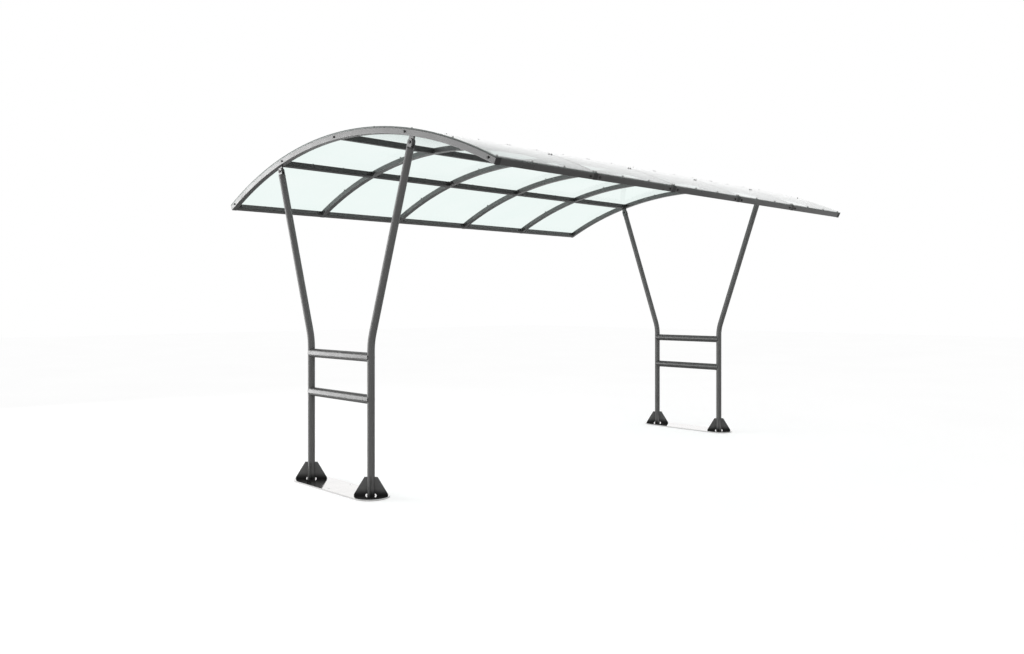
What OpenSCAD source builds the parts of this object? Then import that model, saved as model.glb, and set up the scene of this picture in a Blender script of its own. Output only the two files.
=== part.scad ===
// Open bike shelter: six arched hoops on two pairs of bent posts, with purlins and clear roof sheets.
// Lengths are in mm. +X runs along the shelter, +Z is up, and the origin is on the ground under its middle.

/* [Roof shape] */
// Spacing of the hoops along the shelter
bay_length = 800; // [500:10:1000]
// Width across a hoop on its centreline, over the end caps
roof_span = 3092; // [2600:4:3600]
// Rise of the hoop centreline from the eaves to the crown
roof_rise = 353; // [250:1:500]
// Height of the hoop centreline at the eaves
eave_height = 1989; // [1800:1:2300]
// Thickness of the clear roof sheets
sheet_thickness = 6; // [4:0.5:10]
// Gap between two sheets over an inner hoop
sheet_joint = 4; // [2:0.5:10]

/* [Hoops and purlins] */
// Outer size of the square hoop tube
hoop_size = 40; // [30:1:60]
// Wall of the hoop tube
hoop_wall = 2; // [1.5:0.5:4]
// Outer corner radius of the hoop and purlin tubes
tube_corner = 4.5; // [3:0.5:8]
// Thickness of an end cap outside the tube
cap_thickness = 4; // [2:0.5:8]
// Depth of an end cap's plug inside the tube
cap_plug_depth = 18; // [10:1:30]
// Clearance of the plug on each side of the tube's bore
cap_plug_clearance = 0.3; // [0.1:0.1:0.6]
// Width of a purlin along the curve of the roof
purlin_width = 40; // [30:1:60]
// Depth of a purlin below the sheets
purlin_depth = 40; // [30:1:40]
// Wall of the purlin tube
purlin_wall = 2; // [1.5:0.5:4]
// Leg of the angle cleat that joins a purlin to a hoop
cleat_leg = 40; // [25:1:50]
// Thickness of a cleat's legs
cleat_thickness = 4; // [3:0.5:6]
// Length of a cleat across the purlin's side
cleat_length = 24; // [15:1:25]

/* [Posts] */
// Outer diameter of a post
post_diameter = 48.3; // [38:0.1:60.3]
// Wall of the post tube
post_wall = 2.9; // [2:0.1:5]
// Distance between the feet of a pair of posts
foot_spacing = 724; // [600:2:900]
// Distance between the clevis bolts of a pair of posts
head_spacing = 1568; // [1300:2:1900]
// Height where the straight runs of a post would meet
bend_height = 985; // [980:1:1100]
// Centreline radius of the bend
bend_radius = 350; // [150:5:450]

/* [Rails] */
// Outer diameter of a rail
rail_diameter = 60.3; // [50:0.1:62]
// Wall of the rail tube
rail_wall = 3; // [2:0.1:4]
// Height of the upper rail's axis
upper_rail_height = 887; // [800:1:890]
// Height of the lower rail's axis
lower_rail_height = 619; // [300:1:700]

/* [Post heads] */
// Distance of the clevis bolt below the hoop
lug_drop = 37; // [30:1:60]
// Thickness of the lug under the hoop
lug_thickness = 12; // [8:1:14]
// Gap between the lug and each cheek of the fork
lug_clearance = 0.5; // [0.2:0.1:1]
// Width of lug and fork, with round ends about the bolt
fork_width = 46; // [30:1:50]
// Thickness of a fork cheek
cheek_thickness = 7; // [5:0.5:9]
// Distance of the clevis bolt above the end of the post tube
fork_height = 36; // [32:1:60]
// Thickness of the fork's round base on the post
fork_base = 5; // [3:0.5:8]
// Diameter of the clevis bolt
bolt_diameter = 10; // [8:1:14]
// Clearance of the bolt hole on the diameter
bolt_clearance = 1; // [0.5:0.1:2]
// Width across the flats of bolt head and nut
bolt_flats = 17; // [16:1:24]
// Height of the bolt head
bolt_head = 6.5; // [5:0.5:10]
// Height of the nut
nut_height = 8; // [6:0.5:14]
// Length of bolt past the nut
bolt_tail = 3; // [1:0.5:10]

/* [Feet] */
// Width of a base plate, with round ends about the posts
plate_width = 240; // [230:2:320]
// Thickness of a base plate
plate_thickness = 10; // [5:0.5:15]
// Diameter of the anchor holes
anchor_diameter = 14; // [10:0.5:20]
// Distance between the two anchor holes of a plate
anchor_spacing = 170; // [120:2:190]
// Reach of a gusset from the axis of its post
gusset_reach = 109; // [90:1:112]
// Height of a gusset
gusset_height = 118; // [90:1:160]
// Thickness of a gusset
gusset_thickness = 6; // [4:0.5:10]
// Width of a gusset's flat top beside the post
gusset_top = 18; // [10:0.5:20]
// Height of a gusset's straight outer edge
gusset_edge = 4; // [2:0.5:10]
// Radius of the corner over that edge
gusset_corner = 15; // [8:1:20]
// Radius of the cut-out where gusset, post and plate meet
gusset_cutout = 12; // [8:1:20]

/* [Hidden] */
$fn = 96;
// Facets of the largest circles, where a coarse one would miss the curve
fine_fn = 720;
// Cutters reach this far past the faces that they open
overcut = 1;
// The bend is thinner than the straight runs by this much, and they reach into it by this length
bend_thinning = 0.1;
bend_overlap = 1;

front = -1;
rear = 1;
left = 1;
right = -1;
bay_count = 5;
hoop_count = bay_count + 1;
gusset_count = 4;
gusset_turn = 45;

// The hoop centreline is an arc about an axis along X
hoop_radius = (pow(roof_span / 2, 2) + pow(roof_rise, 2)) / (2 * roof_rise);
arc_centre_z = eave_height + roof_rise - hoop_radius;
end_angle = asin(roof_span / 2 / hoop_radius);
hoop_end_angle = end_angle - atan(cap_thickness / hoop_radius);
hoop_inner_radius = hoop_radius - hoop_size / 2;
hoop_outer_radius = hoop_radius + hoop_size / 2;
hoop_bore = hoop_size - 2 * hoop_wall;
cap_plug = hoop_bore - 2 * cap_plug_clearance;
cap_plug_corner = tube_corner - hoop_wall - cap_plug_clearance;

// Purlins lie evenly along the arc, the edges of their flat tops against the sheets
eave_angle = end_angle - atan(purlin_width / 2 / hoop_outer_radius);
quarter_angle = eave_angle / 2;
purlin_length = bay_length - hoop_size;
purlin_top_radius = sqrt(pow(hoop_outer_radius, 2) - pow(purlin_width / 2 - tube_corner, 2));
purlin_axis_radius = purlin_top_radius - purlin_depth / 2;

// The posts lean from the bend to the clevis bolts under the end hoops
end_hoop_x = bay_count * bay_length / 2;
bolt_radius = hoop_inner_radius - lug_drop;
lug_angle = asin(head_spacing / 2 / bolt_radius);
bolt_z = arc_centre_z + bolt_radius * cos(lug_angle);
lean_shift = (head_spacing - foot_spacing) / 2;
lean_rise = bolt_z - bend_height;
post_lean = atan2(lean_shift, lean_rise);
bend_tangent = bend_radius * tan(post_lean / 2);
bend_start_z = bend_height - bend_tangent;
lean_length = norm([lean_shift, lean_rise]) - bend_tangent - fork_height;
post_bore = post_diameter - 2 * post_wall;
rail_bore = rail_diameter - 2 * rail_wall;
bolt_hole = bolt_diameter + bolt_clearance;
fork_thickness = lug_thickness + 2 * (lug_clearance + cheek_thickness);

function hoop_x(i) = (i - bay_count / 2) * bay_length;

// Puts children on the arc, with local Z outward and local Y along the arc
module on_arc(angle, radius) {
    translate([0, 0, arc_centre_z])
        rotate([-angle, 0, 0])
            translate([0, 0, radius])
                children();
}

// Sweeps a profile along the arc; its X is the radius and its Y runs along the shelter
module sweep_arc(half_angle) {
    translate([0, 0, arc_centre_z])
        rotate([0, -90, 0])
            rotate([0, 0, -half_angle])
                rotate_extrude(angle = 2 * half_angle, $fn = fine_fn)
                    children();
}

// Rectangle about the origin with round corners
module rounded_rect(size, corner) {
    square([size[0] - 2 * corner, size[1]], center = true);
    square([size[0], size[1] - 2 * corner], center = true);
    for (x = [-1, 1], y = [-1, 1])
        translate([x * (size[0] / 2 - corner), y * (size[1] / 2 - corner)])
            circle(r = corner);
}

// Section of a rectangular tube with an even wall
module tube_profile(size, wall) {
    difference() {
        rounded_rect(size, tube_corner);
        rounded_rect(size - 2 * [wall, wall], tube_corner - wall);
    }
}

module hoop(i) {
    color("DimGray")
        translate([hoop_x(i), 0, 0])
            sweep_arc(hoop_end_angle)
                translate([hoop_radius, 0])
                    tube_profile([hoop_size, hoop_size], hoop_wall);
}

// A cap covers the tube's end, and its plug sits inside the tube
module end_caps(side) {
    color("Black")
        for (i = [0 : hoop_count - 1])
            translate([hoop_x(i), 0, 0])
                mirror([0, side == left ? 0 : 1, 0])
                    on_arc(hoop_end_angle, hoop_radius) {
                        rotate([-90, 0, 0])
                            linear_extrude(height = cap_thickness)
                                rounded_rect([hoop_size, hoop_size], tube_corner);
                        rotate([90, 0, 0])
                            linear_extrude(height = cap_plug_depth)
                                rounded_rect([cap_plug, cap_plug], cap_plug_corner);
                    }
}

// One purlin tube in each bay, butted between the hoops
module purlin_line(angle) {
    color("DimGray")
        for (i = [0 : bay_count - 1])
            translate([hoop_x(i) + bay_length / 2, 0, 0])
                on_arc(angle, purlin_axis_radius)
                    rotate([90, 0, 90])
                        linear_extrude(height = purlin_length, center = true)
                            tube_profile([purlin_width, purlin_depth], purlin_wall);
}

// Angle with its heel at the origin, one leg along +X and one along +Y
module cleat() {
    linear_extrude(height = cleat_length, center = true)
        difference() {
            square(cleat_leg);
            translate([cleat_thickness, cleat_thickness])
                square(cleat_leg);
        }
}

// Cleats at both ends of each purlin, on the side that faces along the arc
module cleat_line(angle, side) {
    color("DimGray")
        for (i = [0 : bay_count - 1], end = [front, rear])
            translate([hoop_x(i) + bay_length / 2, 0, 0])
                on_arc(angle, purlin_axis_radius)
                    scale([-end, side, 1])
                        translate([-purlin_length / 2, purlin_width / 2, 0])
                            cleat();
}

// The sheets meet over the inner hoops and end flush with the outer ones
module roof_sheet(i) {
    start = hoop_x(i) + (i == 0 ? -hoop_size / 2 : sheet_joint / 2);
    end = hoop_x(i + 1) + (i == bay_count - 1 ? hoop_size / 2 : -sheet_joint / 2);
    color("Honeydew", 0.4)
        translate([(start + end) / 2, 0, 0])
            sweep_arc(end_angle)
                translate([hoop_outer_radius, (start - end) / 2])
                    square([sheet_thickness, end - start]);
}

// Centreline of a left post, swept with a round section; the ends are longer by extra
module post_run(diameter, extra) {
    translate([0, foot_spacing / 2, plate_thickness - extra])
        cylinder(d = diameter, h = bend_start_z - plate_thickness + extra + bend_overlap);
    translate([0, foot_spacing / 2 + bend_radius, bend_start_z]) {
        rotate([90, 0, -90])
            rotate_extrude(angle = post_lean)
                translate([bend_radius, 0])
                    circle(d = diameter - bend_thinning);
        rotate([-post_lean, 0, 0])
            translate([0, -bend_radius, -bend_overlap])
                cylinder(d = diameter, h = lean_length + extra + bend_overlap);
    }
}

// Puts the children of a left post at one end and one side of the shelter
module at_post(end, side) {
    translate([end * end_hoop_x, 0, 0])
        mirror([0, side == left ? 0 : 1, 0])
            children();
}

module post(end, side) {
    color("DimGray")
        at_post(end, side)
            difference() {
                post_run(post_diameter, 0);
                post_run(post_bore, overcut);
            }
}

// The rail ends on the post axes and is coped to the posts
module rail(end, height) {
    color("DimGray")
        translate([end * end_hoop_x, 0, height])
            difference() {
                rotate([90, 0, 0])
                    cylinder(d = rail_diameter, h = foot_spacing, center = true);
                rotate([90, 0, 0])
                    cylinder(d = rail_bore, h = foot_spacing + 2 * overcut, center = true);
                for (side = [left, right])
                    translate([0, side * foot_spacing / 2, 0])
                        cylinder(d = post_diameter, h = rail_diameter + 2 * overcut, center = true);
            }
}

// Puts children at a clevis bolt, with local Z along the leaning post
module at_clevis(end, side) {
    at_post(end, side)
        translate([0, head_spacing / 2, bolt_z])
            children();
}

// Bar with a round end about the bolt, reaching up from it and drilled for it
module eye_bar(thickness, reach) {
    difference() {
        union() {
            rotate([0, 90, 0])
                cylinder(d = fork_width, h = thickness, center = true);
            translate([-thickness / 2, -fork_width / 2, 0])
                cube([thickness, fork_width, reach]);
        }
        rotate([0, 90, 0])
            cylinder(d = bolt_hole, h = thickness + 2 * overcut, center = true);
    }
}

// Two cheeks on a round base, in line with the leaning post
module fork(end, side) {
    color("Gray")
        at_clevis(end, side)
            rotate([-post_lean, 0, 0]) {
                translate([0, 0, -fork_height])
                    cylinder(d = post_diameter, h = fork_base);
                for (x = [-1, 1])
                    translate([x * (fork_thickness - cheek_thickness) / 2, 0, 0])
                        rotate([180, 0, 0])
                            eye_bar(cheek_thickness, fork_height - fork_base);
            }
}

// A lug stands square to the hoop and is cut to the curve of its underside
module hoop_lugs() {
    color("DimGray")
        for (end = [front, rear], side = [left, right])
            intersection() {
                at_clevis(end, side)
                    rotate([-lug_angle, 0, 0])
                        eye_bar(lug_thickness, lug_drop + overcut);
                translate([end * end_hoop_x, 0, arc_centre_z])
                    rotate([0, 90, 0])
                        cylinder(r = hoop_inner_radius, h = hoop_size, center = true, $fn = fine_fn);
            }
}

// Hexagon bolts along X, head to the front and nut to the rear
module clevis_bolts() {
    hex_diameter = bolt_flats / cos(30);
    color("Silver")
        for (end = [front, rear], side = [left, right])
            at_clevis(end, side)
                translate([-fork_thickness / 2, 0, 0])
                    rotate([0, 90, 0]) {
                        translate([0, 0, -bolt_head])
                            cylinder(d = hex_diameter, h = bolt_head, $fn = 6);
                        cylinder(d = bolt_diameter, h = fork_thickness + nut_height + bolt_tail);
                        translate([0, 0, fork_thickness])
                            cylinder(d = hex_diameter, h = nut_height, $fn = 6);
                    }
}

// Long plate under a pair of posts, with half-round ends
module base_plate(end) {
    color("Silver")
        translate([end * end_hoop_x, 0, 0])
            difference() {
                union() {
                    translate([-plate_width / 2, -foot_spacing / 2, 0])
                        cube([plate_width, foot_spacing, plate_thickness]);
                    for (side = [left, right])
                        translate([0, side * foot_spacing / 2, 0])
                            cylinder(d = plate_width, h = plate_thickness);
                }
                for (x = [-1, 1])
                    translate([x * anchor_spacing / 2, 0, -overcut])
                        cylinder(d = anchor_diameter, h = plate_thickness + 2 * overcut);
            }
}

// Side view of a gusset: X is the distance from the post axis, Y the height over the plate
module gusset_profile() {
    corner = [gusset_reach - gusset_corner, gusset_edge];
    top = [post_diameter / 2 + gusset_top, gusset_height];
    to_top = top - corner;
    tangent_angle = atan2(to_top[1], to_top[0]) - acos(gusset_corner / norm(to_top));
    tangent = corner + gusset_corner * [cos(tangent_angle), sin(tangent_angle)];
    difference() {
        union() {
            polygon([[0, 0], [gusset_reach, 0], [gusset_reach, gusset_edge], corner, tangent, top,
                     [0, gusset_height]]);
            translate(corner)
                circle(r = gusset_corner);
        }
        translate([0, -gusset_corner])
            square([gusset_reach, gusset_corner]);
        translate([post_diameter / 2, 0])
            circle(r = gusset_cutout);
    }
}

// Four gussets stand diagonally round the foot of a post and are coped to it
module gussets(end, side) {
    color("DimGray")
        at_post(end, side)
            translate([0, foot_spacing / 2, plate_thickness])
                difference() {
                    for (i = [0 : gusset_count - 1])
                        rotate([90, 0, gusset_turn + i * 360 / gusset_count])
                            linear_extrude(height = gusset_thickness, center = true)
                                gusset_profile();
                    translate([0, 0, -overcut])
                        cylinder(d = post_diameter, h = gusset_height + 2 * overcut);
                }
}

hoop(0);  // hoop_1
hoop(1);  // hoop_2
hoop(2);  // hoop_3
hoop(3);  // hoop_4
hoop(4);  // hoop_5
hoop(5);  // hoop_6
end_caps(left);  // left_end_caps
end_caps(right);  // right_end_caps
purlin_line(eave_angle);  // left_eave_beam
purlin_line(quarter_angle);  // left_purlin
purlin_line(0);  // ridge_purlin
purlin_line(-quarter_angle);  // right_purlin
purlin_line(-eave_angle);  // right_eave_beam
cleat_line(eave_angle, right);  // left_eave_cleats
cleat_line(quarter_angle, right);  // left_purlin_cleats
cleat_line(0, left);  // ridge_cleats
cleat_line(-quarter_angle, left);  // right_purlin_cleats
cleat_line(-eave_angle, left);  // right_eave_cleats
roof_sheet(0);  // roof_sheet_1
roof_sheet(1);  // roof_sheet_2
roof_sheet(2);  // roof_sheet_3
roof_sheet(3);  // roof_sheet_4
roof_sheet(4);  // roof_sheet_5
post(front, left);  // front_left_post
post(front, right);  // front_right_post
post(rear, left);  // rear_left_post
post(rear, right);  // rear_right_post
rail(front, upper_rail_height);  // front_upper_rail
rail(front, lower_rail_height);  // front_lower_rail
rail(rear, upper_rail_height);  // rear_upper_rail
rail(rear, lower_rail_height);  // rear_lower_rail
fork(front, left);  // front_left_fork
fork(front, right);  // front_right_fork
fork(rear, left);  // rear_left_fork
fork(rear, right);  // rear_right_fork
hoop_lugs();
clevis_bolts();
base_plate(front);  // front_base_plate
base_plate(rear);  // rear_base_plate
gussets(front, left);  // front_left_gussets
gussets(front, right);  // front_right_gussets
gussets(rear, left);  // rear_left_gussets
gussets(rear, right);  // rear_right_gussets
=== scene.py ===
"""Looks of an open bike shelter: materials, fasteners, weld beads, stage, light and camera."""

import math
from collections import namedtuple

import bmesh
import bpy
from mathutils import Matrix, Vector


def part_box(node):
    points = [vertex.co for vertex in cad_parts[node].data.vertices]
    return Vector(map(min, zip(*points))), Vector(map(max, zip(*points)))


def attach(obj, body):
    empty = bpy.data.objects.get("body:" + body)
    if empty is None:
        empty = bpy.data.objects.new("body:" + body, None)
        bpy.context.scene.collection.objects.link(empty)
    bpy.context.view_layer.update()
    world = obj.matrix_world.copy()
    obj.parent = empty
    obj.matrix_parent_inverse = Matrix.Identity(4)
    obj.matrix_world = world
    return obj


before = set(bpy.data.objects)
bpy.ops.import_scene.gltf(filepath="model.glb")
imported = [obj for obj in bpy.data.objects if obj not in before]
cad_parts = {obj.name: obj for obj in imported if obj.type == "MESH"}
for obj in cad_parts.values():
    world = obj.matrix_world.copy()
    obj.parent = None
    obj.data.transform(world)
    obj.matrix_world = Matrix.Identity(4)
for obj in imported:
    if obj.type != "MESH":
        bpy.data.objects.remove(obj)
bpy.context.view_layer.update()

# Frame, as in the part's source; all lengths are in metres
HOOP_COUNT = 6
ENDS = ("front", "rear")
SIDES = ("left", "right")
CLEAT_THICKNESS = 0.004
CLEAT_LEG = 0.040
LEG_MIDDLE = (CLEAT_THICKNESS + CLEAT_LEG) / 2
BEND_HEIGHT = 0.985
FORK_HEIGHT = 0.036
CLEVIS_FLATS = 0.017
GUSSETS_ON_FOOT = 4
GUSSET_CUTOUT = 0.012
GUSSET_HALF_THICKNESS = 0.003
# Purlin lines, with the side along the arc that carries their cleats: 1 to the left, -1 to the right
CLEAT_SIDES = {
    "left_eave_beam": -1,
    "left_purlin": -1,
    "ridge_purlin": 1,
    "right_purlin": 1,
    "right_eave_beam": 1,
}

# Hexagon screws with washers that hold the roof sheets
SCREW_WASHER_RADIUS = 0.0070
SCREW_WASHER_HEIGHT = 0.0013
SCREW_FLATS = 0.0080
SCREW_HEAD_HEIGHT = 0.0042
SCREW_PAIR_OFFSET = 0.011
SCREWS_ON_HOOP = 9
SCREWS_IN_BAY = 2

# Bolts of the cleats
BOLT_RADIUS = 0.0040
BOLT_FLATS = 0.0130
BOLT_HEAD_HEIGHT = 0.0053
BOLT_NUT_HEIGHT = 0.0065
BOLT_STUB = 0.0030
BOLT_TIP = 0.0010
BOLT_WASHER_RADIUS = 0.0080
BOLT_WASHER_HEIGHT = 0.0016

# Forms of all fasteners; chamfer and rim are shares of the height
ROUND_SEGMENTS = 20
HEXAGON = 6
HEXAGON_CHAMFER = 0.18
WASHER_RIM = 0.4

# Weld beads
WELD_RADIUS = 0.0026
SMALL_WELD_RADIUS = 0.8 * WELD_RADIUS
WELD_SIDES = 8
# Share of the radius that is left at a bead's open ends
WELD_TAPER = 0.45
# Distance of a bead's end from a cut-out or an edge
WELD_GAP = 0.002
# Share of the joint of rail and post that has a bead
RAIL_WELD_SHARE = 0.94
# Depth of the fork's bead in the face of the post
FORK_WELD_DEPTH = 0.0006
RAIL_WELD_STEPS = 24
RISE_WELD_STEPS = 12
RUN_WELD_STEPS = 8
RING_WELD_STEPS = 40

# Bevels of the sawn and cut edges, by a word in the node's name
EDGE_BEVELS = {
    "gussets": 0.0009,
    "base_plate": 0.0010,
    "fork": 0.0009,
    "hoop_lugs": 0.0008,
    "cleats": 0.0006,
    "clevis_bolts": 0.0006,
    "end_caps": 0.0008,
}
BEVEL_ANGLE = math.radians(40)
BEVEL_SEGMENTS = 2
JOIN_DISTANCE = 1e-6
SMOOTH_ANGLE = math.radians(35)
WELD_SMOOTH_ANGLE = math.radians(60)

# Materials: usual range of a noise value, and the lean that sorts faces by their normals
NOISE_RANGE = (0.30, 0.70)
NOISE_ROUGHNESS = 0.55
HALF_LEAN = 0.5
PAINT_IOR = 1.5
# Match of rounded and true normal, from a flat face to a worn edge
EDGE_MATCH = (0.98, 0.75)
EDGE_SAMPLES = 4
# Heights over the base plates between which the painted shade fades, from darker, weakly reflecting paint
# to its usual tone and gloss
PAINTED_SHADE_BAND = (0.005, 0.050)
# Sockets of the colours in a Mix node
MIX_FIRST, MIX_SECOND, MIX_RESULT = 6, 7, 2

# Camera, fitted to the photograph; the sensor is in millimetres
IMAGE_WIDTH = 1024
FOCAL_PIXELS = 849.24
HORIZON_ABOVE_MIDDLE = 23.06
SENSOR_WIDTH = 36.0
CAMERA_PLACE = Vector((-5.092, -4.872, 1.2265))
CAMERA_TURN = math.radians(-43.86)
CAMERA_REACH = 200.0

# Floor, and the card on it that is seen only in reflections, grey near the shelter as painted shade
FLOOR_REACH = 30.0
FLOOR_Z = -0.001
FLOOR_GLOW = 0.475
FLOOR_NOISE_SCALE = 0.7
CARD_LOW = (-2.1, -14.0)
CARD_HIGH = (16.0, 14.0)
CARD_Z = -0.0005
# Distances from the origin between which the card fades to white
CARD_FADE = (4.0, 9.0)

# Strength of the white surroundings, and sines of the angles up between which their reflection darkens
WORLD_SHOWN = 1.0
WORLD_LIGHT = 0.85
OVERHEAD_SHOWN = 0.40
OVERHEAD_RANGE = (math.sin(math.radians(20)), math.sin(math.radians(32)))

# Soft lamps in one upright plane on the left, which all face to the right
PANEL_Y = 6.5
Panel = namedtuple("Panel", "x z width height radiance")
PANELS = {
    "rail_panel": Panel(x=-5.2, z=0.3, width=2.2, height=4.2, radiance=9.5),
    "hoop_panel": Panel(x=-4.95, z=3.15, width=2.7, height=1.5, radiance=8.0),
    "low_panel": Panel(x=-7.8, z=0.3, width=3.0, height=4.2, radiance=2.5),
    "side_panel": Panel(x=-8.65, z=4.0, width=4.7, height=2.6, radiance=4.8),
}

X_AXIS = Vector((1, 0, 0))
Y_AXIS = Vector((0, 1, 0))
Z_AXIS = Vector((0, 0, 1))
QUARTER_TURN = math.radians(90)


# Places taken from the frame

def middle(node):
    """Middle of a node's box."""
    low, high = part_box(node)
    return (low + high) / 2


def span(node):
    """Size of a node's box along each axis."""
    low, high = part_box(node)
    return high - low


def roof_arc(node):
    """Height of the roof's axis and radius of the sheets' upper face, from one sheet."""
    points = [v.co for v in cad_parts[node].data.vertices]
    crown = max(p.z for p in points)
    edge = max(points, key=lambda p: p.y)
    drop = crown - edge.z
    radius = (edge.y ** 2 + drop ** 2) / (2 * drop)
    return crown - radius, radius


def arc_angle(node):
    """Angle of a purlin line from the crown, positive to the left."""
    centre = middle(node)
    return math.atan2(centre.y, centre.z - AXIS_Z)


AXIS_Z, SHEET_RADIUS = roof_arc("roof_sheet_3")
EAVE_ANGLE = arc_angle("left_eave_beam")
HOOP_X = [middle(f"hoop_{i + 1}").x for i in range(HOOP_COUNT)]
HOOP_HALF = span("hoop_1").x / 2
PURLIN_RADIUS = middle("ridge_purlin").z - AXIS_Z
PURLIN_HALF_WIDTH = span("ridge_purlin").y / 2
POST_RADIUS = span("front_left_post").x / 2
PLATE_THICKNESS = span("front_base_plate").z


def on_arc(x, angle, radius):
    """Frame on the roof's arc, with local Z outward and local Y along the arc."""
    turn = Matrix.Rotation(-angle, 4, "X")
    return Matrix.Translation((x, 0, AXIS_Z)) @ turn @ Matrix.Translation((0, 0, radius))


def on_purlin(x, line):
    """Frame on the axis of a purlin line."""
    return on_arc(x, arc_angle(line), PURLIN_RADIUS)


# Mesh helpers

def circle_points(centre, radius, across, up, count):
    """Points round a circle in the plane of two directions."""
    angles = [2 * math.pi * i / count for i in range(count)]
    return [centre + radius * (math.cos(a) * across + math.sin(a) * up) for a in angles]


def line_points(start, end, steps):
    """Evenly spaced points from start to end."""
    return [start + (end - start) * i / steps for i in range(steps + 1)]


def skin(bm, rings, closed):
    """Joins a row of vertex rings by faces, and caps its ends where it is open."""
    pairs = list(zip(rings, rings[1:]))
    if closed:
        pairs.append((rings[-1], rings[0]))
    for lower, upper in pairs:
        for i in range(len(lower)):
            j = (i + 1) % len(lower)
            bm.faces.new((lower[i], lower[j], upper[j], upper[i]))
    if not closed:
        bm.faces.new(list(reversed(rings[0])))
        bm.faces.new(rings[-1])


def revolve(bm, place, profile, segments):
    """Adds a closed body of revolution about local Z; the profile runs from bottom to top."""
    rings = []
    for radius, height in profile:
        points = circle_points(height * Z_AXIS, radius, X_AXIS, Y_AXIS, segments)
        rings.append([bm.verts.new(place @ point) for point in points])
    skin(bm, rings, closed=False)


def sweep(bm, points, radius, closed=False):
    """Adds a round bead along a line of points, with tapered ends where it is open."""
    last = len(points) - 1
    side = None
    rings = []
    for i, point in enumerate(points):
        before = points[i - 1] if closed or i > 0 else point
        after = points[(i + 1) % len(points)] if closed or i < last else point
        along = (after - before).normalized()
        if side is None:
            side = along.orthogonal().normalized()
        else:
            side = (side - along * side.dot(along)).normalized()
        tapered = not closed and i in (0, last)
        size = radius * (WELD_TAPER if tapered else 1.0)
        corners = circle_points(point, size, side, along.cross(side), WELD_SIDES)
        rings.append([bm.verts.new(corner) for corner in corners])
    skin(bm, rings, closed)


def new_object(name, data):
    """New object in the scene."""
    thing = bpy.data.objects.new(name, data)
    bpy.context.scene.collection.objects.link(thing)
    return thing


def piece_from(bm, name, material, smooth_angle=SMOOTH_ANGLE):
    """Turns a bmesh into a piece of the object that rides on the root body."""
    bmesh.ops.recalc_face_normals(bm, faces=bm.faces)
    mesh = bpy.data.meshes.new(name)
    bm.to_mesh(mesh)
    bm.free()
    mesh.polygons.foreach_set("use_smooth", [True] * len(mesh.polygons))
    mesh.set_sharp_from_angle(angle=smooth_angle)
    mesh.materials.append(material)
    piece = new_object(name, mesh)
    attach(piece, "root")
    return piece


# Material helpers

class Nodes:
    """Fills one node tree; most calls return the output socket of the new node."""

    def __init__(self, tree):
        tree.nodes.clear()
        self.tree = tree

    def add(self, kind, sockets=None, **properties):
        """New node; each of the sockets takes a constant or a link from another node."""
        node = self.tree.nodes.new(kind)
        for key, value in properties.items():
            setattr(node, key, value)
        for key, value in (sockets or {}).items():
            socket = node.inputs[key]
            if isinstance(value, bpy.types.NodeSocket):
                self.tree.links.new(value, socket)
            elif socket.type == "RGBA":
                socket.default_value = (*value, 1)
            else:
                socket.default_value = value
        return node

    def coords(self, kind="Object"):
        """The object's own coordinates, or another kind."""
        return self.add("ShaderNodeTexCoord").outputs[kind]

    def true_normal(self):
        """Normal of the face itself, on the side that is met."""
        return self.add("ShaderNodeNewGeometry").outputs["True Normal"]

    def split(self, vector, axis):
        """One part of a vector."""
        return self.add("ShaderNodeSeparateXYZ", {0: vector}).outputs[axis]

    def compute(self, operation, *values, **properties):
        """Result of arithmetic on plain values."""
        sockets = dict(enumerate(values))
        return self.add("ShaderNodeMath", sockets, operation=operation, **properties).outputs[0]

    def compute_vector(self, operation, *values, output="Vector"):
        """Result of arithmetic on vectors."""
        sockets = dict(enumerate(values))
        return self.add("ShaderNodeVectorMath", sockets, operation=operation).outputs[output]

    def map_range(self, value, source, target, **properties):
        """Value that runs over the target range as another runs over the source range."""
        sockets = {
            "Value": value,
            "From Min": source[0],
            "From Max": source[1],
            "To Min": target[0],
            "To Max": target[1],
        }
        return self.add("ShaderNodeMapRange", sockets, **properties).outputs["Result"]

    def noise(self, coords, scale, detail):
        """Noise value over coordinates."""
        sockets = {"Vector": coords, "Scale": scale, "Detail": detail, "Roughness": NOISE_ROUGHNESS}
        return self.add("ShaderNodeTexNoise", sockets).outputs["Fac"]

    def spread(self, noise, low, high):
        """Value from low to high that follows a noise value."""
        return self.map_range(noise, NOISE_RANGE, (low, high))

    def ramp(self, noise, tones, ends=NOISE_RANGE):
        """Colour between two tones that follows a noise value."""
        node = self.add("ShaderNodeValToRGB", {"Fac": noise})
        for element, end, tone in zip(node.color_ramp.elements, ends, tones):
            element.position = end
            element.color = (*tone, 1)
        return node.outputs["Color"]

    def blend(self, factor, first, second):
        """Mix of two colours."""
        sockets = {"Factor": factor, MIX_FIRST: first, MIX_SECOND: second}
        return self.add("ShaderNodeMix", sockets, data_type="RGBA").outputs[MIX_RESULT]

    def edge_mask(self, radius, strength):
        """Value that rises on worn edges, where a rounded normal leaves the true one."""
        rounded = self.add("ShaderNodeBevel", {"Radius": radius}, samples=EDGE_SAMPLES).outputs["Normal"]
        normal = self.add("ShaderNodeNewGeometry").outputs["Normal"]
        match = self.compute_vector("DOT_PRODUCT", rounded, normal, output="Value")
        return self.map_range(match, EDGE_MATCH, (0.0, strength))

    def bump(self, height, strength, distance):
        """Normal from a height value."""
        sockets = {"Height": height, "Strength": strength, "Distance": distance}
        return self.add("ShaderNodeBump", sockets).outputs["Normal"]

    def principled(self, sockets):
        """The usual surface shader."""
        return self.add("ShaderNodeBsdfPrincipled", sockets).outputs[0]

    def mix_shaders(self, factor, first, second):
        """Mix of two shaders."""
        return self.add("ShaderNodeMixShader", {0: factor, 1: first, 2: second}).outputs[0]

    def close(self, shader, kind="ShaderNodeOutputMaterial"):
        """Joins a shader to the tree's output."""
        self.add(kind, {"Surface": shader})


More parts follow.
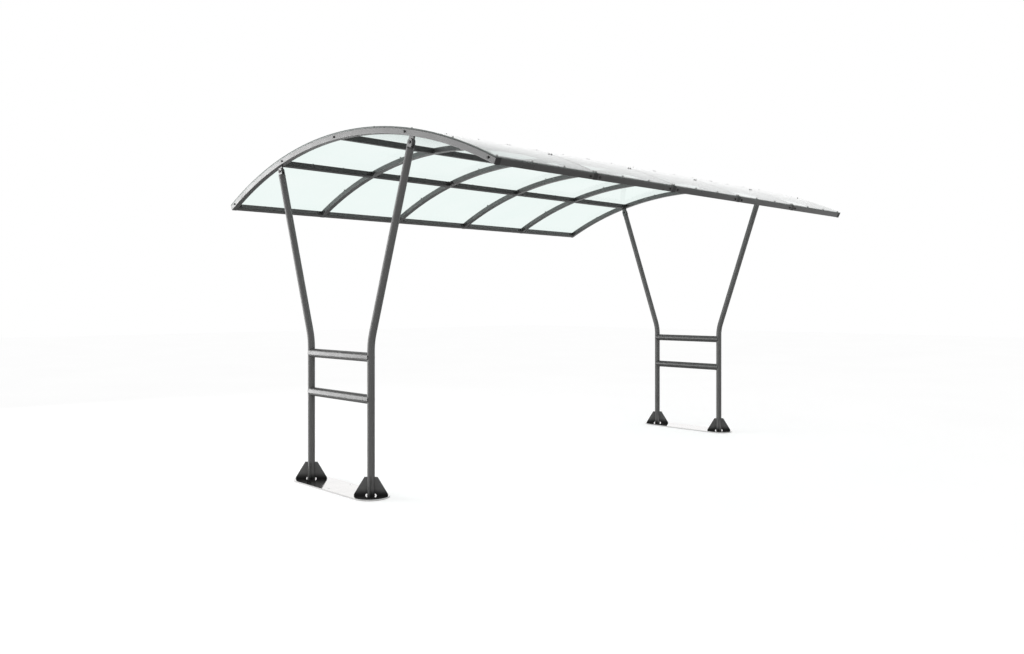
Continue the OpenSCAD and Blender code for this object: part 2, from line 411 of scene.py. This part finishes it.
def new_material(name):
    """Empty node material, and its nodes."""
    material = bpy.data.materials.new(name)
    material.use_nodes = True
    return material, Nodes(material.node_tree)


def painted_shade_ramp(nodes, coords, low, high):
    """Value for the painted shade by the base plates: it rises from low on the plates to high a little
    above them.
    """
    heights = [PLATE_THICKNESS + height for height in PAINTED_SHADE_BAND]
    height = nodes.split(coords, "Z")
    return nodes.map_range(height, heights, (low, high), interpolation_type="SMOOTHSTEP")


def outer_side(nodes, coords):
    """1 where a sheet is met from outside, so that its normal points away from the roof's axis."""
    across = nodes.compute_vector("MULTIPLY_ADD", coords, (0, 1, 1), (0, 0, -AXIS_Z))
    radial = nodes.compute_vector("NORMALIZE", across)
    lean = nodes.compute_vector("DOT_PRODUCT", radial, nodes.true_normal(), output="Value")
    return nodes.compute("GREATER_THAN", lean, HALF_LEAN)


def facing(nodes, axis, test):
    """1 on faces whose normal leans to an axis by more, or by less, than a half."""
    lean = nodes.compute("ABSOLUTE", nodes.split(nodes.true_normal(), axis))
    return nodes.compute(test, lean, HALF_LEAN)


def seen_rays(nodes, seen, other):
    """One value for camera, glossy and transmission rays, another for the rest."""
    path = nodes.add("ShaderNodeLightPath").outputs
    shown = nodes.compute("MAXIMUM", path["Is Camera Ray"], path["Is Glossy Ray"])
    shown = nodes.compute("MAXIMUM", shown, path["Is Transmission Ray"])
    return nodes.map_range(shown, (0.0, 1.0), (other, seen))


def grey(value):
    """Neutral grey."""
    return (value, value, value)


def warm_grey(value):
    """Grey with a trace of warmth."""
    return (value, 0.99 * value, 0.98 * value)


# Materials

def frame_paint(name, greys, gloss, shine, painted_foot_shade=False):
    """Anthracite powder coat: fine orange peel, uneven gloss, pale worn edges, and painted shade that
    darkens tone and reflection just above the plates.
    """
    material, nodes = new_material(name)
    coords = nodes.coords()
    cloud = nodes.noise(coords, scale=5.0, detail=4.0)
    grain = nodes.noise(coords, scale=160.0, detail=2.0)
    peel = nodes.noise(coords, scale=700.0, detail=2.0)
    speck_tone = warm_grey(1.3 * greys[1])
    worn_tone = warm_grey(0.12)
    painted_shade_tone = warm_grey(0.014)
    painted_shade_shine = 0.24 * shine
    tone = nodes.ramp(cloud, [warm_grey(value) for value in greys])
    tone = nodes.blend(nodes.spread(grain, low=0.0, high=0.25), tone, speck_tone)
    tone = nodes.blend(nodes.edge_mask(radius=0.0015, strength=0.5), tone, worn_tone)
    # Painted shade: just above the base plates the tone darkens and the reflection weakens
    if painted_foot_shade:
        tone = nodes.blend(painted_shade_ramp(nodes, coords, low=0.0, high=1.0), painted_shade_tone, tone)
        shine = painted_shade_ramp(nodes, coords, low=painted_shade_shine, high=shine)
    nodes.close(nodes.principled({
        "Base Color": tone,
        "Roughness": nodes.spread(cloud, *gloss),
        "IOR": PAINT_IOR,
        "Specular IOR Level": shine,
        "Normal": nodes.bump(peel, strength=0.015, distance=0.0006),
    }))
    return material


def weld_paint():
    """The same coat on rippled weld beads, with painted shade that darkens tone and reflection just above
    the base plates.
    """
    material, nodes = new_material("weld_paint_coat")
    coords = nodes.coords()
    ripple = nodes.noise(coords, scale=260.0, detail=2.0)
    # Painted shade darkens the beads' tone and reflection just above the base plates
    painted_shade_tone = warm_grey(0.010)
    tone = nodes.ramp(ripple, [(0.024, 0.024, 0.0245), grey(0.040)], ends=(0.35, 0.70))
    tone = nodes.blend(painted_shade_ramp(nodes, coords, low=0.0, high=1.0), painted_shade_tone, tone)
    nodes.close(nodes.principled({
        "Base Color": tone,
        "Roughness": nodes.spread(ripple, low=0.32, high=0.45),
        "IOR": PAINT_IOR,
        "Specular IOR Level": painted_shade_ramp(nodes, coords, low=0.05, high=0.5),
        "Normal": nodes.bump(ripple, strength=0.5, distance=0.0010),
    }))
    return material


def clear_sheet():
    """Clear polycarbonate with a mint tint, faint waves, a glossy outer side and dull sawn ends."""
    material, nodes = new_material("clear_roof_sheet")
    coords = nodes.coords()
    haze = nodes.noise(coords, scale=2.5, detail=3.0)
    scuff = nodes.noise(coords, scale=90.0, detail=4.0)
    wave = nodes.noise(coords, scale=3.0, detail=1.0)
    tint = nodes.ramp(haze, [(0.860, 0.945, 0.920), (0.885, 0.955, 0.934)])
    shadow_tint = (0.87, 0.95, 0.928)
    sawn = facing(nodes, "X", "GREATER_THAN")
    sawn_tone = (0.170, 0.190, 0.183)
    sawn_gloss = 0.6
    # The low index keeps the view through the sheet straight, and the coat gives the gloss
    pane = nodes.principled({
        "Base Color": nodes.blend(sawn, tint, sawn_tone),
        "Roughness": nodes.spread(scuff, low=0.0, high=0.05),
        "IOR": 1.03,
        "Transmission Weight": nodes.compute("SUBTRACT", 1.0, sawn),
        "Coat Weight": nodes.compute("MULTIPLY_ADD", sawn, sawn_gloss, outer_side(nodes, coords)),
        "Coat IOR": 1.55,
        "Coat Roughness": 0.10,
        "Normal": nodes.bump(wave, strength=0.05, distance=0.004),
    })
    through = nodes.add("ShaderNodeBsdfTransparent", {"Color": shadow_tint}).outputs[0]
    shadow_ray = nodes.add("ShaderNodeLightPath").outputs["Is Shadow Ray"]
    nodes.close(nodes.mix_shaders(shadow_ray, pane, through))
    return material


def cap_plastic():
    """Black moulded plastic with a fine grain."""
    material, nodes = new_material("black_cap_plastic")
    coords = nodes.coords()
    cloud = nodes.noise(coords, scale=30.0, detail=3.0)
    grain = nodes.noise(coords, scale=1100.0, detail=2.0)
    worn_tone = grey(0.05)
    tone = nodes.ramp(cloud, [(0.008, 0.008, 0.0085), grey(0.016)])
    tone = nodes.blend(nodes.edge_mask(radius=0.0012, strength=0.4), tone, worn_tone)
    nodes.close(nodes.principled({
        "Base Color": tone,
        "Roughness": nodes.spread(cloud, low=0.42, high=0.58),
        "IOR": 1.46,
        "Normal": nodes.bump(grain, strength=0.20, distance=0.0004),
    }))
    return material


def plate_steel():
    """Polished steel with faint brush lines and smudges; its sawn edges are dull."""
    material, nodes = new_material("polished_plate_steel")
    coords = nodes.coords()
    brush_stretch = (1.0, 0.02, 1.0)
    stretched = nodes.add("ShaderNodeMapping", {"Vector": coords, "Scale": brush_stretch}).outputs[0]
    brush = nodes.noise(stretched, scale=900.0, detail=3.0)
    smudge = nodes.noise(coords, scale=9.0, detail=4.0)
    top = nodes.principled({
        "Base Color": nodes.ramp(smudge, [(0.86, 0.845, 0.835), (0.92, 0.905, 0.895)]),
        "Metallic": 1.0,
        "Roughness": nodes.spread(smudge, low=0.05, high=0.13),
        "Normal": nodes.bump(brush, strength=0.03, distance=0.0003),
    })
    sawn = nodes.principled({
        "Base Color": nodes.ramp(brush, [(0.58, 0.575, 0.57), (0.66, 0.655, 0.65)]),
        "Roughness": 0.7,
        "Specular IOR Level": 0.1,
    })
    nodes.close(nodes.mix_shaders(facing(nodes, "Z", "LESS_THAN"), top, sawn))
    return material


def bolt_steel(name, greys, worn):
    """Steel of bolts and screws: uneven tone and gloss, and worn edges."""
    material, nodes = new_material(name)
    cloud = nodes.noise(nodes.coords(), scale=120.0, detail=3.0)
    tone = nodes.ramp(cloud, [warm_grey(value) for value in greys])
    tone = nodes.blend(nodes.edge_mask(radius=0.0008, strength=0.6), tone, warm_grey(worn))
    nodes.close(nodes.principled({
        "Base Color": tone,
        "Metallic": 0.6,
        "Roughness": nodes.spread(cloud, low=0.32, high=0.50),
        "Normal": nodes.bump(cloud, strength=0.10, distance=0.0004),
    }))
    return material


# Fasteners

def add_hexagon(bm, place, flats, bottom, height):
    """Hexagon head or nut with a chamfered top."""
    radius = flats / 2 / math.cos(math.pi / HEXAGON)
    chamfer = HEXAGON_CHAMFER * height
    top = bottom + height
    profile = [(radius, bottom), (radius, top - chamfer), (radius - chamfer, top)]
    revolve(bm, place, profile, HEXAGON)


def add_washer(bm, place, radius, height):
    """Flat washer with a rounded rim."""
    rim = WASHER_RIM * height
    profile = [(radius, 0), (radius, height - rim), (radius - rim, height)]
    revolve(bm, place, profile, ROUND_SEGMENTS)


def add_screw(bm, place):
    """Sheet screw: washer and hexagon head."""
    add_washer(bm, place, SCREW_WASHER_RADIUS, SCREW_WASHER_HEIGHT)
    add_hexagon(bm, place, SCREW_FLATS, SCREW_WASHER_HEIGHT, SCREW_HEAD_HEIGHT)


def add_bolt_head(bm, place):
    """Head of a cleat bolt on its washer."""
    add_washer(bm, place, BOLT_WASHER_RADIUS, BOLT_WASHER_HEIGHT)
    add_hexagon(bm, place, BOLT_FLATS, BOLT_WASHER_HEIGHT, BOLT_HEAD_HEIGHT)


def add_bolt_nut(bm, place):
    """Nut of a cleat bolt on its washer, with the bolt's end."""
    add_washer(bm, place, BOLT_WASHER_RADIUS, BOLT_WASHER_HEIGHT)
    add_hexagon(bm, place, BOLT_FLATS, BOLT_WASHER_HEIGHT, BOLT_NUT_HEIGHT)
    bottom = BOLT_WASHER_HEIGHT + BOLT_NUT_HEIGHT
    top = bottom + BOLT_STUB
    profile = [(BOLT_RADIUS, bottom), (BOLT_RADIUS, top - BOLT_TIP), (BOLT_RADIUS - BOLT_TIP, top)]
    revolve(bm, place, profile, ROUND_SEGMENTS)


def sheet_screws(material):
    """Screws along every hoop, in pairs at the sheets' joints, and along every purlin."""
    # On the crown the heads are let into the sheet
    crown_radius = SHEET_RADIUS - SCREW_WASHER_HEIGHT - SCREW_HEAD_HEIGHT
    half = SCREWS_ON_HOOP // 2
    bm = bmesh.new()
    for number, x in enumerate(HOOP_X):
        at_joint = 0 < number < HOOP_COUNT - 1
        offsets = (-SCREW_PAIR_OFFSET, SCREW_PAIR_OFFSET) if at_joint else (0,)
        for step in range(-half, half + 1):
            radius = SHEET_RADIUS if step else crown_radius
            for offset in offsets:
                add_screw(bm, on_arc(x + offset, EAVE_ANGLE * step / half, radius))
    for line in CLEAT_SIDES:
        radius = crown_radius if line == "ridge_purlin" else SHEET_RADIUS
        for start, end in zip(HOOP_X, HOOP_X[1:]):
            for x in line_points(start, end, SCREWS_IN_BAY + 1)[1:-1]:
                add_screw(bm, on_arc(x, arc_angle(line), radius))
    return piece_from(bm, "sheet_screws", material)


def add_hoop_bolt(bm, line, side, number):
    """Bolt through a hoop and its cleats; on the end hoops its head is outside."""
    first = number == 0
    last = number == HOOP_COUNT - 1
    at_leg = Matrix.Translation(side * (PURLIN_HALF_WIDTH + LEG_MIDDLE) * Y_AXIS)
    front_x = HOOP_X[number] - HOOP_HALF - (0 if first else CLEAT_THICKNESS)
    rear_x = HOOP_X[number] + HOOP_HALF + (0 if last else CLEAT_THICKNESS)
    front = on_purlin(front_x, line) @ at_leg @ Matrix.Rotation(-QUARTER_TURN, 4, "Y")
    rear = on_purlin(rear_x, line) @ at_leg @ Matrix.Rotation(QUARTER_TURN, 4, "Y")
    add_bolt_head(bm, rear if last else front)
    add_bolt_nut(bm, front if last else rear)


def add_purlin_bolts(bm, line, side, number):
    """Bolts through the purlins that meet a hoop; at the end hoops their heads are on the cleats."""
    to_cleat = Matrix.Rotation(-QUARTER_TURN * side, 4, "X")
    from_cleat = Matrix.Rotation(QUARTER_TURN * side, 4, "X")
    cleat_face = Matrix.Translation(side * (PURLIN_HALF_WIDTH + CLEAT_THICKNESS) * Y_AXIS) @ to_cleat
    far_face = Matrix.Translation(-side * PURLIN_HALF_WIDTH * Y_AXIS) @ from_cleat
    ways = [way for way in (-1, 1) if 0 <= number + way < HOOP_COUNT]
    for way in ways:
        base = on_purlin(HOOP_X[number] + way * (HOOP_HALF + LEG_MIDDLE), line)
        if len(ways) == 1:
            add_bolt_head(bm, base @ cleat_face)
        else:
            add_bolt_head(bm, base @ far_face)
            add_bolt_nut(bm, base @ cleat_face)


def cleat_bolts(material):
    """Bolts through hoops and cleats, and through purlins and cleats."""
    bm = bmesh.new()
    for line, side in CLEAT_SIDES.items():
        for number in range(HOOP_COUNT):
            add_hoop_bolt(bm, line, side, number)
            add_purlin_bolts(bm, line, side, number)
    return piece_from(bm, "cleat_bolts", material)


# Weld beads

def cope_points(axis, rail_radius, post_y, inward, up):
    """Points along the joint of a rail with a post, over the rail or under it."""
    limit = RAIL_WELD_SHARE * math.asin(POST_RADIUS / rail_radius)
    points = []
    for angle in line_points(-limit, limit, RAIL_WELD_STEPS):
        x = rail_radius * math.sin(angle)
        y = math.sqrt(POST_RADIUS ** 2 - x ** 2)
        z = rail_radius * math.cos(angle)
        points.append(Vector((axis.x + x, post_y + inward * y, axis.z + up * z)))
    return points


def add_rail_welds(bm, end):
    """Beads over and under each rail where it is coped to the posts."""
    for level in ("upper", "lower"):
        node = f"{end}_{level}_rail"
        low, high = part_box(node)
        for post_y, inward in ((high.y, -1), (low.y, 1)):
            for up in (-1, 1):
                points = cope_points(middle(node), span(node).z / 2, post_y, inward, up)
                sweep(bm, points, WELD_RADIUS)


def add_foot_welds(bm, end, side):
    """Beads round a post's foot and along its gussets."""
    node = f"{end}_{side}_gussets"
    centre = middle(node)
    foot = Vector((centre.x, centre.y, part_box(node)[0].z))
    sweep(bm, circle_points(foot, POST_RADIUS, X_AXIS, Y_AXIS, RING_WELD_STEPS), WELD_RADIUS, closed=True)
    # The gussets stand diagonally, so that their box is narrower than their reach
    reach = span(node).x / 2 * math.sqrt(2) - GUSSET_HALF_THICKNESS
    post_face = math.sqrt(POST_RADIUS ** 2 - GUSSET_HALF_THICKNESS ** 2)
    for number in range(GUSSETS_ON_FOOT):
        angle = QUARTER_TURN * (number + 0.5)
        out = Vector((math.cos(angle), math.sin(angle), 0))
        beside = GUSSET_HALF_THICKNESS * Z_AXIS.cross(out)
        for face in (foot - beside, foot + beside):
            at_post = face + post_face * out
            rise = (at_post + (GUSSET_CUTOUT + WELD_GAP) * Z_AXIS, at_post + span(node).z * Z_AXIS)
            sweep(bm, line_points(*rise, RISE_WELD_STEPS), SMALL_WELD_RADIUS)
            run = (face + (POST_RADIUS + GUSSET_CUTOUT + WELD_GAP) * out, face + (reach - WELD_GAP) * out)
            sweep(bm, line_points(*run, RUN_WELD_STEPS), SMALL_WELD_RADIUS)


def add_fork_weld(bm, end, side):
    """Bead round the joint of post and fork."""
    way = 1 if side == "left" else -1
    bolts_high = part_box("clevis_bolts")[1]
    bolt_y = way * (bolts_high.y - CLEVIS_FLATS / 2)
    bolt_z = middle("clevis_bolts").z
    foot_y = middle(f"{end}_{side}_gussets").y
    lean = Vector((0, bolt_y - foot_y, bolt_z - BEND_HEIGHT)).normalized()
    centre = Vector((middle(f"{end}_{side}_post").x, bolt_y, bolt_z)) - lean * FORK_HEIGHT
    radius = POST_RADIUS - FORK_WELD_DEPTH
    ring = circle_points(centre, radius, X_AXIS, way * lean.cross(X_AXIS), RING_WELD_STEPS)
    sweep(bm, ring, SMALL_WELD_RADIUS, closed=True)


def weld_beads(material):
    """All weld beads of the two post frames."""
    bm = bmesh.new()
    for end in ENDS:
        add_rail_welds(bm, end)
        for side in SIDES:
            add_foot_welds(bm, end, side)
            add_fork_weld(bm, end, side)
    return piece_from(bm, "weld_beads", material, WELD_SMOOTH_ANGLE)


# Finish of the frame's own nodes

def dress_nodes(by_slot, by_word):
    """Gives every node the finish of its name or of its record slot, and bevels to its cut edges."""
    for name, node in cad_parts.items():
        own = [finish for word, finish in by_word.items() if word in name]
        slot = node.data.materials[0].name
        node.material_slots[0].material = own[0] if own else by_slot[slot]
        for word, width in EDGE_BEVELS.items():
            if word in name:
                add_bevel(node, width)


def add_bevel(node, width):
    """Joins the node's split faces and rounds its sharp edges."""
    weld = node.modifiers.new("join_faces", "WELD")
    weld.merge_threshold = JOIN_DISTANCE
    bevel = node.modifiers.new("round_edges", "BEVEL")
    bevel.width = width
    bevel.segments = BEVEL_SEGMENTS
    bevel.limit_method = "ANGLE"
    bevel.angle_limit = BEVEL_ANGLE
    bevel.harden_normals = True


# Stage, light and camera

def flat_card(name, low, high, z, material):
    """Level rectangle between two corners."""
    corners = [(low[0], low[1], z), (high[0], low[1], z), (high[0], high[1], z), (low[0], high[1], z)]
    mesh = bpy.data.meshes.new(name)
    mesh.from_pydata(corners, [], [(0, 1, 2, 3)])
    mesh.materials.append(material)
    return new_object(name, mesh)


def pale_floor():
    """Pale floor that keeps soft shadows and shows as white."""
    material, nodes = new_material("pale_floor")
    cloud = nodes.noise(nodes.coords(), scale=FLOOR_NOISE_SCALE, detail=3.0)
    nodes.close(nodes.principled({
        "Base Color": nodes.ramp(cloud, [grey(0.59), grey(0.61)]),
        "Roughness": 0.9,
        "Specular IOR Level": 0.0,
        "Emission Color": grey(1.0),
        "Emission Strength": seen_rays(nodes, FLOOR_GLOW, 0.0),
    }))
    reach = (FLOOR_REACH, FLOOR_REACH)
    floor = flat_card("floor", (-FLOOR_REACH, -FLOOR_REACH), reach, FLOOR_Z, material)
    floor.visible_glossy = False
    floor.visible_shadow = False


def floor_card():
    """Glowing card behind the near posts, seen only in reflections: grey by the shelter as painted shade,
    white far off.
    """
    material, nodes = new_material("floor_card")
    coords = nodes.coords()
    cloud = nodes.noise(coords, scale=FLOOR_NOISE_SCALE, detail=3.0)
    shade_reflection_tone = nodes.ramp(cloud, [grey(0.37), grey(0.43)])
    distance = nodes.compute_vector("LENGTH", coords, output="Value")
    fade = nodes.map_range(distance, CARD_FADE, (0.0, 1.0), interpolation_type="SMOOTHSTEP")
    tone = nodes.blend(fade, shade_reflection_tone, grey(1.0))
    nodes.close(nodes.add("ShaderNodeEmission", {"Color": tone, "Strength": 1.0}).outputs[0])
    card = flat_card("floor_card", CARD_LOW, CARD_HIGH, CARD_Z, material)
    card.visible_camera = False
    card.visible_diffuse = False
    card.visible_transmission = False
    card.visible_shadow = False


def white_world():
    """White surroundings; they light a little less than they show, and reflect darker overhead."""
    world = bpy.data.worlds.new("studio")
    world.use_nodes = True
    nodes = Nodes(world.node_tree)
    height = nodes.split(nodes.coords("Generated"), "Z")
    strengths = (WORLD_SHOWN, OVERHEAD_SHOWN)
    overhead = nodes.map_range(height, OVERHEAD_RANGE, strengths, interpolation_type="SMOOTHSTEP")
    path = nodes.add("ShaderNodeLightPath").outputs
    # Rays that pass through the sheets are glossy and transmitted, mirrored ones only glossy
    mirrored = nodes.compute("SUBTRACT", path["Is Glossy Ray"], path["Is Transmission Ray"], use_clamp=True)
    plain = seen_rays(nodes, WORLD_SHOWN, WORLD_LIGHT)
    strength = nodes.add("ShaderNodeMix", {"Factor": mirrored, "A": plain, "B": overhead}).outputs["Result"]
    background = nodes.add("ShaderNodeBackground", {"Color": grey(1.0), "Strength": strength}).outputs[0]
    nodes.close(background, "ShaderNodeOutputWorld")
    bpy.context.scene.world = world


def soft_panel(name, panel):
    """Soft rectangular lamp that faces to the right; its strength is given as radiance."""
    light = bpy.data.lights.new(name, "AREA")
    light.shape = "RECTANGLE"
    light.size = panel.width
    light.size_y = panel.height
    light.energy = panel.radiance * math.pi * panel.width * panel.height
    lamp = new_object(name, light)
    lamp.location = (panel.x, PANEL_Y, panel.z)
    lamp.rotation_euler = (-Y_AXIS).to_track_quat("-Z", "Y").to_euler()
    lamp.visible_camera = False
    lamp.visible_transmission = False
    return lamp


def keep_off_sheets(lamps):
    """Leaves the roof sheets out of the lamps' light, so that no lamp shows in them."""
    left_out = bpy.data.collections.new("sheets_without_lamps")
    for name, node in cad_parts.items():
        if name.startswith("roof_sheet"):
            left_out.objects.link(node)
    for member in left_out.collection_objects:
        member.light_linking.link_state = "EXCLUDE"
    for lamp in lamps:
        lamp.light_linking.receiver_collection = left_out


def photo_camera():
    """Level camera at the photograph's place and lens."""
    data = bpy.data.cameras.new("photo_camera")
    data.sensor_width = SENSOR_WIDTH
    data.lens = FOCAL_PIXELS / IMAGE_WIDTH * SENSOR_WIDTH
    data.shift_y = -HORIZON_ABOVE_MIDDLE / IMAGE_WIDTH
    data.clip_end = CAMERA_REACH
    camera = new_object("photo_camera", data)
    camera.location = CAMERA_PLACE
    camera.rotation_euler = (QUARTER_TURN, 0, CAMERA_TURN)
    bpy.context.scene.camera = camera


def dress_frame(dark_steel):
    """Finishes of the frame's nodes; posts and gussets have a lighter copy of the coat as painted light,
    and purlins a darker copy as painted shade.
    """
    hoop_coat = frame_paint("frame_paint_coat", greys=(0.046, 0.058), gloss=(0.25, 0.36), shine=0.43)
    # Purlins: a darker copy of the hoops' coat, as painted shade
    shaded_purlin_coat = frame_paint("shaded_purlin_paint_coat", greys=(0.026, 0.034), gloss=(0.36, 0.46), shine=0.35)
    # Posts and gussets: a lighter copy of the coat, as painted light, with painted shade just above the
    # plates
    lit_post_coat = frame_paint("lit_post_paint_coat", greys=(0.076, 0.092), gloss=(0.46, 0.58), shine=0.5,
                            painted_foot_shade=True)
    by_slot = {
        "frame_paint": hoop_coat,
        "roof_sheet": clear_sheet(),
        "end_cap": cap_plastic(),
        "base_plate": plate_steel(),
        "bolt_steel": dark_steel,
    }
    dress_nodes(by_slot, {"_post": lit_post_coat, "_gussets": lit_post_coat, "purlin": shaded_purlin_coat})


def main():
    """Makes the camera, the looks of the object, the stage and the light."""
    photo_camera()
    dark_steel = bolt_steel("blackened_bolt_steel", greys=(0.018, 0.038), worn=0.16)
    zinc_steel = bolt_steel("zinc_screw_steel", greys=(0.34, 0.46), worn=0.60)
    dress_frame(dark_steel)
    sheet_screws(zinc_steel)
    cleat_bolts(dark_steel)
    weld_beads(weld_paint())
    pale_floor()
    floor_card()
    white_world()
    keep_off_sheets([soft_panel(name, panel) for name, panel in PANELS.items()])
    bpy.context.scene.view_settings.view_transform = "Standard"


main()
